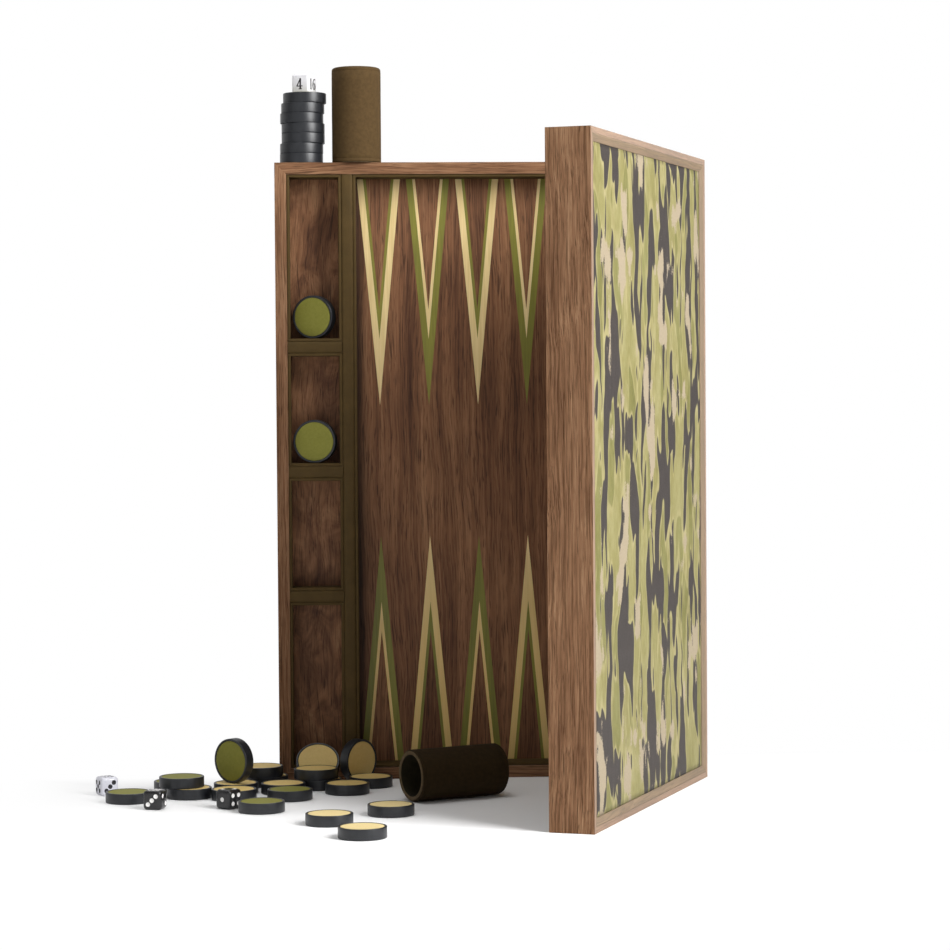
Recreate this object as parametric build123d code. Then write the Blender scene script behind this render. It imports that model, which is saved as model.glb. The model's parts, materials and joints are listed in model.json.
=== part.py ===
"""Folding backgammon case with its checkers, dice, doubling cube and two dice cups.

Millimetres, +Z up.  The case stands on its short end, partly open.  The origin is the
centre of the tray half's lower end face; +X runs towards the hinge, +Y towards the
outside cover of the tray half.
"""
import os
from math import cos, sin, tan, pi, radians

from build123d import *

os.makedirs("parts", exist_ok=True)

# ---------------------------------------------------------------- case half
HEIGHT = 530.0            # long side of a half, upright here
WIDTH = 335.0             # short side, hinge edge to free edge
DEPTH = 36.0              # one half, rim to outside cover
WALL = 10.0               # wall board thickness
RIM_GAP = 0.1             # each rim stands this far off the closing plane
HINGE_GAP = 0.25          # each hinge-side wall stands this far off the open seam
OPEN_ANGLE = 67.7         # lid angle as it stands, 0 closed and 180 flat

FIELD_DEPTH = 26.0        # rim to playing surface
FIELD_THICK = 4.0         # playing-surface panel
GROOVE = 3.0              # panels are let into the walls this far
TRIM_WIDTH = 6.0          # bevelled moulding round the outside cover
TRIM_DEPTH = 3.5
WALL_BAND = 4.6           # flat edge of the wall outside the moulding
COVER_RECESS = 2.0        # cover panel sits this far below the wall's outer edge
COVER_THICK = 2.5

TRAY_WIDTH = 46.8         # clear width of the checker tray
DIVIDER = 10.0            # divider thickness
DIVIDER_DROP = 0.6        # dividers stop this far below the rim
CROSS_HEIGHTS = (158.0, 265.0, 372.0)
LINER = 2.6               # leather liner strip thickness
LINER_DROP = 1.2          # liner strips stop this far below the rim
FIT = 0.05                # assembly clearance round a loose panel

POINT_PITCH = 42.6
POINT_BASE = 37.4
POINT_LENGTH = 195.5
BAND_OUTER = 5.45         # width of the outer inlay band, square to its edge
BAND_INNER = 2.4          # width of the thin second band
INLAY_DEPTH = 0.8

# ---------------------------------------------------------------- hinges
HINGE_HEIGHTS = (70.0, 265.0, 460.0)
HINGE_LENGTH = 50.0
KNUCKLES = 5
KNUCKLE_R = 2.5
PIN_R = 1.2
PIN_CLEARANCE = 0.05
KNUCKLE_GAP = 0.15
LEAF_WIDTH = 8.6
LEAF_THICK = 1.1
SCREW_X = 5.7
SCREW_STEP = 20.0
SCREW_HEAD_R = 1.8
SCREW_R = 1.0
SCREW_LENGTH = 8.0

# ---------------------------------------------------------------- loose pieces
CHECKER_R = 18.55
CHECKER_T = 8.6
CHECKER_INLAY_R = 16.6
CHECKER_INLAY_T = 0.6
STACK_GAP = 0.03
CUP_R = 21.2
CUP_BORE_R = 17.0
CUP_LENGTH = 82.0
CUP_FLOOR = 5.0
DIE = 15.5
CUBE = 16.0

# Checkers lying on the floor: name, x, y, level.  Coordinates here and below are
# measured from the hinge axis.
FLAT_CHECKERS = (
    ("checker_green_01", -456.2, -116.0, 0),
    ("checker_green_02", -414.1, -91.1, 1),
    ("checker_green_03", -420.7, -54.7, 0),
    ("checker_green_04", -324.6, -113.5, 0),
    ("checker_green_05", -346.2, -179.9, 0),
    ("checker_cream_01", -407.7, -95.5, 0),
    ("checker_cream_02", -370.0, -70.3, 0),
    ("checker_cream_03", -370.5, -108.0, 0),
    ("checker_cream_04", -345.7, -28.2, 0),
    ("checker_cream_05", -349.8, -31.2, 1),
    ("checker_cream_06", -330.6, -76.1, 0),
    ("checker_cream_07", -300.7, -51.0, 0),
    ("checker_cream_08", -303.4, -51.0, 1),
    ("checker_cream_09", -257.3, -43.0, 0),
    ("checker_cream_10", -277.4, -82.1, 0),
    ("checker_cream_11", -243.9, -207.4, 0),
    ("checker_cream_12", -292.4, -251.2, 0),
    ("checker_cream_13", -267.7, -320.0, 0),
)
# Checkers standing on edge: name, x, y, height of the support, turn about +Z, lean back.
STANDING_CHECKERS = (
    ("checker_green_06", -371.5, -74.0, CHECKER_T + STACK_GAP, -42.0, 0.0),
    ("checker_cream_14", -302.0, -16.0, 0.0, 0.0, 43.0),
    ("checker_cream_15", -267.4, -18.4, 0.0, 46.0, 0.0),
    ("checker_green_07", -302.0, 13.0, CROSS_HEIGHTS[2] + DIVIDER / 2 + LINER, -24.0, 0.0),
    ("checker_green_08", -302.0, 10.0, CROSS_HEIGHTS[1] + DIVIDER / 2 + LINER, -12.0, 0.0),
)
# Stack on the top end of the case, bottom to top.
STACK_Y = 18.0
STACK_X = (-311.8, -311.6, -310.2, -310.2, -311.3, -310.4, -308.7)
CUBE_X = -309.0
CUBE_TURN = -26.0
CUP_STANDING = (-264.3, 16.0)
CUP_LYING_MOUTH = (-226.0, -139.0)
CUP_LYING_TURN = 27.5
# Dice on the floor: name, x, y, turn about +Z.
DICE = (
    ("white_die_1", -476.9, -74.0, 25.0),
    ("black_die_1", -432.0, -158.0, -16.0),
    ("black_die_2", -373.0, -160.0, 49.6),
)

HINGE_TO_ORIGIN = Location((WIDTH / 2, -DEPTH / 2, 0))
FIELD_X0 = -WIDTH + WALL + TRAY_WIDTH + DIVIDER      # tray side of the playing field
FIELD_X1 = -HINGE_GAP - WALL                         # hinge side of the playing field
TRAY_X0 = -WIDTH + WALL
TRAY_X1 = TRAY_X0 + TRAY_WIDTH


# ================================================================ helpers
def block(x0, x1, y0, y1, z0, z1):
    """Solid box between two corners."""
    box = Box(x1 - x0, y1 - y0, z1 - z0)
    return Pos((x0 + x1) / 2, (y0 + y1) / 2, (z0 + z1) / 2) * box


def rod(radius, z0, z1, x=0.0, y=0.0):
    """Upright cylinder between two heights."""
    return Pos(x, y, (z0 + z1) / 2) * Cylinder(radius, z1 - z0)


def plate(points, y0, y1):
    """Prism of an outline given as (x, z) points, between two depths."""
    wire = Polyline(*[(x, y0, z) for x, z in points], close=True)
    face = make_face(wire)
    return extrude(face, amount=y1 - y0, dir=(0, 1, 0))


def solids(*shapes):
    """One compound holding every solid of the given shapes."""
    found = []
    for shape in shapes:
        found.extend(shape.solids())
    return Compound(children=found)


def save(name, shape):
    """Write one node, moved from the hinge axis to the part's origin."""
    placed = HINGE_TO_ORIGIN * shape
    export_step(placed, os.path.join("parts", name + ".step"))
    print(name, len(placed.solids()))


# ================================================================ one half of the case
def mitre_prisms():
    """Four prisms that share out a frame between its sides along 45 degree mitres."""
    x0, x1 = -WIDTH, -HINGE_GAP
    z0, z1 = 0.0, HEIGHT
    reach = (x1 - x0) / 2 - 20.0
    inner = ((x0 + reach, z0 + reach), (x1 - reach, z0 + reach),
             (x1 - reach, z1 - reach), (x0 + reach, z1 - reach))
    outer = ((x0, z0), (x1, z0), (x1, z1), (x0, z1))
    prisms = []
    for i in range(4):
        j = (i + 1) % 4
        outline = (outer[i], outer[j], inner[j], inner[i])
        prisms.append(plate(outline, RIM_GAP, DEPTH))
    return prisms


def frame_ring(inset, width, y0, y1):
    """Rectangular ring set in from the outside of a half."""
    x0, x1 = -WIDTH + inset, -HINGE_GAP - inset
    z0, z1 = inset, HEIGHT - inset
    ring = block(x0, x1, y0, y1, z0, z1)
    hole = block(x0 + width, x1 - width, y0 - 1, y1 + 1, z0 + width, z1 - width)
    return ring - hole


def panel_pocket(inset, y0, y1):
    """Space a panel takes inside a half."""
    return block(-WIDTH + inset, -HINGE_GAP - inset, y0, y1, inset, HEIGHT - inset)


def hinge_mortises():
    """Room in the hinge-side rim for the knuckles, leaves and screws."""
    cuts = []
    for z in HINGE_HEIGHTS:
        z0, z1 = z - HINGE_LENGTH / 2, z + HINGE_LENGTH / 2
        cuts.append(rod(KNUCKLE_R + 0.2, z0 - FIT, z1 + FIT))
        cuts.append(block(-LEAF_WIDTH - FIT, 0, -1, RIM_GAP + LEAF_THICK + FIT, z0 - FIT, z1 + FIT))
        for offset in (-SCREW_STEP * 0.9, 0.0, SCREW_STEP * 0.9):
            hole = Cylinder(SCREW_R, SCREW_LENGTH + 2)
            cuts.append(Pos(-SCREW_X, (SCREW_LENGTH + 2) / 2, z + offset) * Rot(90, 0, 0) * hole)
    return cuts


def make_walls():
    """Four mitred boards, grooved for the panels and mortised for the hinges."""
    ring = frame_ring(0, WALL, RIM_GAP, DEPTH)
    field = panel_pocket(WALL - GROOVE - FIT, FIELD_DEPTH - FIT, FIELD_DEPTH + FIELD_THICK + FIT)
    rebate = panel_pocket(WALL_BAND - FIT, DEPTH - TRIM_DEPTH - FIT, DEPTH + 1)
    ring = ring - field - rebate
    for cut in hinge_mortises():
        ring = ring - cut
    boards = [ring & prism for prism in mitre_prisms()]
    return solids(*boards)


def make_trim():
    """Bevelled moulding that frames the outside cover, mitred at the corners."""
    ring = frame_ring(WALL_BAND, TRIM_WIDTH, DEPTH - TRIM_DEPTH, DEPTH)
    x0, x1 = -WIDTH + WALL_BAND, -HINGE_GAP - WALL_BAND
    top_in = TRIM_WIDTH
    lower = Pos((x0 + x1) / 2, DEPTH - COVER_RECESS, HEIGHT / 2)
    mouth = Rectangle(x1 - x0 - 2 * top_in, HEIGHT - 2 * (WALL_BAND + top_in))
    brim = Rectangle(x1 - x0 - 2.4, HEIGHT - 2 * WALL_BAND - 2.4)
    turned = Rot(-90, 0, 0)
    bevel = loft([lower * turned * mouth.face(),
                  Pos((x0 + x1) / 2, DEPTH + 0.01, HEIGHT / 2) * turned * brim.face()])
    return solids(ring - bevel)


def make_cover():
    """Outside panel, lying under the moulding."""
    inset = WALL_BAND + TRIM_WIDTH + FIT
    top = DEPTH - COVER_RECESS
    return panel_pocket(inset, FIELD_DEPTH + FIELD_THICK + FIT, top)


def field_blank():
    """Playing-surface panel before the inlays are let in."""
    return panel_pocket(WALL - GROOVE, FIELD_DEPTH, FIELD_DEPTH + FIELD_THICK)


# ---------------------------------------------------------------- inlays
def point_outline(x, z_base, up, inset):
    """Triangle of one point, shrunk square to its sloping edges by an inset."""
    half = POINT_BASE / 2
    slope = half / POINT_LENGTH
    side = (1 + slope * slope) ** 0.5
    shrink = inset * side
    tip = POINT_LENGTH - shrink / slope
    return ((x - half + shrink, z_base), (x + half - shrink, z_base), (x, z_base + up * tip))


def point_bands(x, z_base, up):
    """Outer and inner V bands of one point."""
    top = FIELD_DEPTH
    bottom = FIELD_DEPTH + INLAY_DEPTH
    whole = plate(point_outline(x, z_base, up, 0), top, bottom)
    middle = plate(point_outline(x, z_base, up, BAND_OUTER), top, bottom)
    core = plate(point_outline(x, z_base, up, BAND_OUTER + BAND_INNER), top, bottom)
    return whole - middle, middle - core


def make_inlays():
    """Cream bands and green bands; the two colours swap from point to point."""
    cream, green = [], []
    middle = (FIELD_X0 + FIELD_X1) / 2
    for i in range(6):
        x = middle + (i - 2.5) * POINT_PITCH
        rows = ((HEIGHT - WALL - LINER, -1, i % 2 == 0), (WALL + LINER, 1, i % 2 == 1))
        for z_base, up, cream_outside in rows:
            outer, inner = point_bands(x, z_base, up)
            cream.append(outer if cream_outside else inner)
            green.append(inner if cream_outside else outer)
    return solids(*cream), solids(*green)


def make_field(cream, green):
    """Playing surface with a recess for every inlay."""
    panel = field_blank()
    for piece in list(cream.solids()) + list(green.solids()):
        panel = panel - piece
    return panel


# ---------------------------------------------------------------- tray
def compartments():
    """Lower and upper height of each tray compartment."""
    edges = [WALL]
    for z in CROSS_HEIGHTS:
        edges.extend((z - DIVIDER / 2, z + DIVIDER / 2))
    edges.append(HEIGHT - WALL)
    return [(edges[i], edges[i + 1]) for i in range(0, len(edges), 2)]


def make_dividers():
    """Long divider and the three short cross dividers."""
    top = RIM_GAP + DIVIDER_DROP
    long_one = block(TRAY_X1, TRAY_X1 + DIVIDER, top, FIELD_DEPTH, WALL, HEIGHT - WALL)
    short = []
    for z in CROSS_HEIGHTS:
        short.append(block(TRAY_X0, TRAY_X1, top, FIELD_DEPTH, z - DIVIDER / 2, z + DIVIDER / 2))
    return solids(long_one, *short)


def liner_box(x0, x1, z0, z1):
    """Open-ended leather lining round the sides of one pocket."""
    top = RIM_GAP + LINER_DROP
    ring = block(x0, x1, top, FIELD_DEPTH, z0, z1)
    hole = block(x0 + LINER, x1 - LINER, top - 1, FIELD_DEPTH + 1, z0 + LINER, z1 - LINER)
    return ring - hole


def make_liners():
    """Leather lining of the four tray compartments and of the playing field."""
    rings = [liner_box(TRAY_X0, TRAY_X1, z0, z1) for z0, z1 in compartments()]
    rings.append(liner_box(FIELD_X0, FIELD_X1, WALL, HEIGHT - WALL))
    return solids(*rings)


# ================================================================ hinges
def knuckle_span(z, index):
    """Lower and upper height of one knuckle."""
    step = HINGE_LENGTH / KNUCKLES
    z0 = z - HINGE_LENGTH / 2 + index * step
    return z0 + KNUCKLE_GAP / 2, z0 + step - KNUCKLE_GAP / 2


def make_leaf(z, own, other, screws):
    """One leaf in the tray-half position, with its own knuckles."""
    z0, z1 = z - HINGE_LENGTH / 2, z + HINGE_LENGTH / 2
    leaf = block(-LEAF_WIDTH, -PIN_R - 0.4, RIM_GAP, RIM_GAP + LEAF_THICK, z0, z1)
    for index in other:
        low, high = knuckle_span(z, index)
        leaf = leaf - rod(KNUCKLE_R + 0.15, low - KNUCKLE_GAP, high + KNUCKLE_GAP)
    for index in own:
        low, high = knuckle_span(z, index)
        leaf = leaf + rod(KNUCKLE_R, low, high)
    leaf = leaf - rod(PIN_R + PIN_CLEARANCE, z0 - 1, z1 + 1)
    for screw in screws:
        leaf = leaf - screw
    return leaf


def screw_positions(z):
    """Heights of the three screws of one leaf."""
    return [z - SCREW_STEP * 0.9, z, z + SCREW_STEP * 0.9]


def make_screw(z, slotted=True):
    """Countersunk wood screw, head flush with the leaf."""
    head = Cone(SCREW_R - 0.05, SCREW_HEAD_R, 0.8)
    shank = Cylinder(SCREW_R - 0.05, SCREW_LENGTH - 2.5)
    tip = Cone(0.2, SCREW_R - 0.05, 1.7)
    body = Pos(0, 0, -0.4) * head
    body += Pos(0, 0, -0.8 - (SCREW_LENGTH - 2.5) / 2) * shank
    body += Pos(0, 0, -0.8 - (SCREW_LENGTH - 2.5) - 0.85) * tip
    if slotted:
        body -= Box(2 * SCREW_HEAD_R, 0.45, 0.7)
    return Pos(-SCREW_X, RIM_GAP, z) * Rot(90, 0, 0) * body


def make_leaves(own, other):
    """The three leaves of one half."""
    leaves = []
    for z in HINGE_HEIGHTS:
        plain = [make_screw(height, slotted=False) for height in screw_positions(z)]
        leaves.append(make_leaf(z, own, other, plain))
    return solids(*leaves)


def make_screws():
    """The nine screws of one half."""
    screws = []
    for z in HINGE_HEIGHTS:
        screws.extend(make_screw(height) for height in screw_positions(z))
    return solids(*screws)


def make_pins():
    """The three hinge pins, with a small rounded head at each end."""
    pins = []
    for z in HINGE_HEIGHTS:
        pin = rod(PIN_R, z - HINGE_LENGTH / 2, z + HINGE_LENGTH / 2)
        pins.append(chamfer(pin.edges().filter_by(GeomType.CIRCLE), 0.2))
    return solids(*pins)


# ================================================================ loose pieces
def make_checker():
    """Checker lying flat on z = 0: dark body with a leather disc let into each face."""
    body = Pos(0, 0, CHECKER_T / 2) * Cylinder(CHECKER_R, CHECKER_T)
    body = fillet(body.edges().filter_by(GeomType.CIRCLE), 0.7)
    low = rod(CHECKER_INLAY_R, 0.15, 0.15 + CHECKER_INLAY_T)
    high = rod(CHECKER_INLAY_R, CHECKER_T - 0.15 - CHECKER_INLAY_T, CHECKER_T - 0.15)
    recess_low = rod(CHECKER_INLAY_R, -1, 0.15 + CHECKER_INLAY_T)
    recess_high = rod(CHECKER_INLAY_R, CHECKER_T - 0.15 - CHECKER_INLAY_T, CHECKER_T + 1)
    return solids(body - recess_low - recess_high, low, high)


def lie_flat(checker, x, y, level):
    """Checker on the floor or on another one."""
    return Pos(x, y, level * (CHECKER_T + STACK_GAP)) * checker


def stand_up(checker, x, y, z, turn, lean):
    """Checker on its edge, its middle above (x, y); lean tips the upper edge back."""
    centred = Pos(0, 0, -CHECKER_T / 2) * checker
    tilt = 90.0 - lean
    rise = CHECKER_R * cos(radians(lean)) + CHECKER_T / 2 * sin(radians(lean))
    return Pos(x, y, z + rise + STACK_GAP) * Rot(0, 0, turn) * Rot(tilt, 0, 0) * centred


def make_cup():
    """Dice cup standing mouth down on z = 0, with rounded edges."""
    body = Pos(0, 0, CUP_LENGTH / 2) * Cylinder(CUP_R, CUP_LENGTH)
    body = fillet(body.edges().filter_by(GeomType.CIRCLE).sort_by(Axis.Z)[-1:], 2.5)
    cup = body - rod(CUP_BORE_R, -1, CUP_LENGTH - CUP_FLOOR)
    mouth = [e for e in cup.edges().filter_by(GeomType.CIRCLE) if abs(e.center().Z) < 0.01]
    return fillet(mouth, 1.2)


def make_lying_cup(cup):
    """Cup on its side, mouth turned towards the front left."""
    x, y = CUP_LYING_MOUTH
    laid = Rot(0, 90, 0) * cup
    return Pos(x, y, CUP_R + STACK_GAP) * Rot(0, 0, CUP_LYING_TURN) * laid


def make_die(size, radius):
    """Rounded cube standing on z = 0."""
    cube = Pos(0, 0, size / 2) * Box(size, size, size)
    return fillet(cube.edges(), radius)


# ================================================================ build
def build_half():
    """Nodes of one half, in the tray-half position."""
    cream, green = make_inlays()
    return {
        "walls": make_walls(),
        "field_panel": make_field(cream, green),
        "inlays_cream": cream,
        "inlays_green": green,
        "dividers": make_dividers(),
        "liners": make_liners(),
        "cover_panel": make_cover(),
        "cover_trim": make_trim(),
        "hinge_screws": make_screws(),
    }


def as_lid(shape):
    """Turn a part of the tray half end for end about the seam, then fold it in."""
    turned = shape.rotate(Axis((0, 0, HEIGHT / 2), (0, 1, 0)), 180)
    return turned.rotate(Axis.Z, OPEN_ANGLE - 180)


def main():
    half = build_half()
    for name, shape in half.items():
        save("base_" + name, shape)
        save("lid_" + name, as_lid(shape))
    save("base_hinge_leaves", make_leaves(own=(0, 2, 4), other=(1, 3)))
    save("lid_hinge_leaves", as_lid(make_leaves(own=(1, 3), other=(0, 2, 4))))
    save("hinge_pins", make_pins())

    checker = make_checker()
    for name, x, y, level in FLAT_CHECKERS:
        save(name, lie_flat(checker, x, y, level))
    for name, x, y, z, turn, lean in STANDING_CHECKERS:
        save(name, stand_up(checker, x, y, z, turn, lean))
    for index, x in enumerate(STACK_X):
        z = HEIGHT + STACK_GAP + index * (CHECKER_T + STACK_GAP)
        save("checker_green_%02d" % (index + 9), Pos(x, STACK_Y, z) * checker)

    cube_z = HEIGHT + STACK_GAP + len(STACK_X) * (CHECKER_T + STACK_GAP)
    cube = make_die(CUBE, 1.6)
    save("doubling_cube", Pos(CUBE_X, STACK_Y, cube_z) * Rot(0, 0, CUBE_TURN) * cube)

    cup = make_cup()
    save("cup_standing", Pos(*CUP_STANDING, HEIGHT + STACK_GAP) * cup)
    save("cup_lying", make_lying_cup(cup))

    die = make_die(DIE, 2.4)
    for name, x, y, turn in DICE:
        save(name, Pos(x, y, 0) * Rot(0, 0, turn) * die)
    middle = TRAY_X0 + TRAY_WIDTH / 2
    spare = Pos(middle, FIELD_DEPTH - DIE / 2 - FIT, WALL + LINER + FIT) * die
    save("white_die_2", as_lid_upright(spare))


def as_lid_upright(shape):
    """Place a loose piece in the lid's tray without turning it upside down."""
    turned = shape.rotate(Axis.Z, 0).mirror(Plane.YZ)
    return turned.rotate(Axis.Z, OPEN_ANGLE - 180)


main()
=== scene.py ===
"""Backgammon set in a folding walnut case: looks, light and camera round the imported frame."""
import json
import math
import random

import bmesh
import bpy
from mathutils import Matrix, Vector, noise


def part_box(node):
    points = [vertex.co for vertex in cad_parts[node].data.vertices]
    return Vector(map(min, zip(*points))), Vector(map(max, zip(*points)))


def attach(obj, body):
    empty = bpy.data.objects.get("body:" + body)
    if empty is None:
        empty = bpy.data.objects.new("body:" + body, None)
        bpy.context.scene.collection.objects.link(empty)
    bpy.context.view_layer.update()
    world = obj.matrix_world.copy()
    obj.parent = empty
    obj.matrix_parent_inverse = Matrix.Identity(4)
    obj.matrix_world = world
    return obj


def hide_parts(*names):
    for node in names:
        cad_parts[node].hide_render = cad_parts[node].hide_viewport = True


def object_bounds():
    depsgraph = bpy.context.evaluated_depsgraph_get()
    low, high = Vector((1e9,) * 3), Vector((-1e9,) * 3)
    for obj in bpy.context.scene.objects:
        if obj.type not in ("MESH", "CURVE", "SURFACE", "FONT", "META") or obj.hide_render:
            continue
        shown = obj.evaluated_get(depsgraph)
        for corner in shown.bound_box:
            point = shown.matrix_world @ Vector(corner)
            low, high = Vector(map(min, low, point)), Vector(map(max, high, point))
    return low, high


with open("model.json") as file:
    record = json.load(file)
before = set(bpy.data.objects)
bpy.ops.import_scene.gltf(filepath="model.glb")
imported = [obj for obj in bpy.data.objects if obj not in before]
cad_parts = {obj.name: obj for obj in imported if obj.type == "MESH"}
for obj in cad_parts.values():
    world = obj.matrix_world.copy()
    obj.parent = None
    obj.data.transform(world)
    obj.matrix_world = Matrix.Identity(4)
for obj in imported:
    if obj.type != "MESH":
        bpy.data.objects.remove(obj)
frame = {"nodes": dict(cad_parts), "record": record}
cad_low, cad_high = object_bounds()
NODES = frame["nodes"]
RECORD = frame["record"]
JOINTS = {j["name"]: j for j in RECORD["behaviour"]["joints"]}
MM = 0.001

# ---------------------------------------------------------------- dimensions, metres
HINGE = Vector(JOINTS["case_open"]["pos_m"])
OPEN_ANGLE = -JOINTS["case_close"]["range_deg"][0]
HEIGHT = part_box("base_walls")[1].z
WIDTH = 2 * HINGE.x
DEPTH = -2 * HINGE.y
RIM_Y = -DEPTH / 2
WALL = 10 * MM
HINGE_GAP = 0.25 * MM
TRAY_WIDTH = 46.8 * MM
DIVIDER = 10 * MM
FIELD_DEPTH = 26 * MM
LINER = 2.6 * MM
FIELD_Y = RIM_Y + FIELD_DEPTH
TRAY_X0 = -WIDTH / 2 + WALL
TRAY_X1 = TRAY_X0 + TRAY_WIDTH
FIELD_X0 = TRAY_X1 + DIVIDER
FIELD_X1 = WIDTH / 2 - HINGE_GAP - WALL
CROSS = (0.158, 0.265, 0.372)

CHECKER_R = 18.55 * MM
CHECKER_T = 8.6 * MM
CUP_R = 21.2 * MM
CUP_BORE = 17.0 * MM
CUP_LENGTH = 82 * MM
DIE = 15.5 * MM


def lid_matrix():
    """Takes a piece from the tray half to its place in the lid half."""
    to_hinge = Matrix.Translation(-HINGE)
    middle = Matrix.Translation((0, 0, HEIGHT / 2))
    turned = middle @ Matrix.Rotation(math.pi, 4, "Y") @ middle.inverted()
    fold = Matrix.Rotation(math.radians(OPEN_ANGLE - 180), 4, "Z")
    return Matrix.Translation(HINGE) @ fold @ turned @ to_hinge


LID = lid_matrix()
HALVES = (("base", "tray_half", Matrix.Identity(4)), ("lid", "lid_half", LID))


# ================================================================ node helpers
def rgb(r, g, b):
    """Linear colour from screen values 0 to 255."""
    return tuple(((c / 255 + 0.055) / 1.055) ** 2.4 if c > 10 else c / 255 / 12.92 for c in (r, g, b)) + (1,)


class Graph:
    """Thin wrapper that keeps material code short."""

    def __init__(self, name):
        self.mat = bpy.data.materials.new(name)
        self.mat.use_nodes = True
        self.tree = self.mat.node_tree
        self.tree.nodes.clear()
        self.out = self.tree.nodes.new("ShaderNodeOutputMaterial")
        self.bsdf = self.tree.nodes.new("ShaderNodeBsdfPrincipled")
        self.tree.links.new(self.bsdf.outputs[0], self.out.inputs[0])

    def put(self, socket, value):
        if isinstance(value, bpy.types.NodeSocket):
            self.tree.links.new(value, socket)
        elif value is not None:
            socket.default_value = value

    def set(self, name, value):
        self.put(self.bsdf.inputs[name], value)

    def node(self, kind, inputs=None, out=0, **props):
        n = self.tree.nodes.new("ShaderNode" + kind)
        for key, value in props.items():
            setattr(n, key, value)
        for key, value in (inputs or {}).items():
            self.put(n.inputs[key], value)
        return n.outputs[out]

    def coords(self):
        return self.node("TexCoord", out="Object")

    def map(self, vector, scale=(1, 1, 1), loc=(0, 0, 0), rot=(0, 0, 0)):
        return self.node("Mapping", {"Vector": vector, "Location": loc, "Rotation": rot, "Scale": scale})

    def noise(self, vector, scale=1.0, detail=4.0, rough=0.55, distort=0.0):
        return self.node("TexNoise", {"Vector": vector, "Scale": scale, "Detail": detail,
                                      "Roughness": rough, "Distortion": distort})

    def voronoi(self, vector, scale=1.0, feature="F1", out=0):
        return self.node("TexVoronoi", {"Vector": vector, "Scale": scale}, out=out, feature=feature)

    def math(self, op, a, b=None, c=None):
        inputs = {0: a}
        if b is not None:
            inputs[1] = b
        if c is not None:
            inputs[2] = c
        return self.node("Math", inputs, operation=op)

    def vec(self, op, a, b=None):
        inputs = {0: a}
        if b is not None:
            inputs[1] = b
        return self.node("VectorMath", inputs, operation=op)

    def split(self, vector):
        n = self.tree.nodes.new("ShaderNodeSeparateXYZ")
        self.put(n.inputs[0], vector)
        return n.outputs[0], n.outputs[1], n.outputs[2]

    def join(self, x, y, z):
        return self.node("CombineXYZ", {0: x, 1: y, 2: z})

    def ramp(self, fac, stops, interp="LINEAR"):
        n = self.tree.nodes.new("ShaderNodeValToRGB")
        self.put(n.inputs[0], fac)
        n.color_ramp.interpolation = interp
        ramp = n.color_ramp.elements
        while len(ramp) < len(stops):
            ramp.new(0.5)
        for element, (pos, colour) in zip(ramp, stops):
            element.position = pos
            element.color = colour if len(colour) == 4 else tuple(colour) + (1,)
        return n.outputs[0]

    def grey(self, fac, low, high, a=0.0, b=1.0):
        """Maps fac from low..high to a..b, clamped."""
        return self.node("MapRange", {"Value": fac, "From Min": low, "From Max": high,
                                      "To Min": a, "To Max": b}, interpolation_type="SMOOTHSTEP")

    def mix(self, fac, a, b, blend="MIX"):
        n = self.tree.nodes.new("ShaderNodeMix")
        n.data_type = "RGBA"
        n.blend_type = blend
        self.put(n.inputs["Factor"], fac)
        self.put(n.inputs["A"], a)
        self.put(n.inputs["B"], b)
        return n.outputs["Result"]

    def bump(self, height, strength=0.3, distance=0.0002, normal=None):
        inputs = {"Height": height, "Strength": strength, "Distance": distance}
        if normal is not None:
            inputs["Normal"] = normal
        return self.node("Bump", inputs)


def half_coords(g, lid):
    """Coordinates inside one half: x across from free edge to hinge, y depth, z up."""
    base = g.vec("SUBTRACT", g.coords(), tuple(HINGE))
    if lid:
        turn = g.node("VectorRotate", {"Vector": base, "Axis": (0, 0, 1),
                                       "Angle": math.radians(180 - OPEN_ANGLE)}, rotation_type="AXIS_ANGLE")
        return g.vec("MULTIPLY", turn, (-1, 1, 1))
    return base


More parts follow.
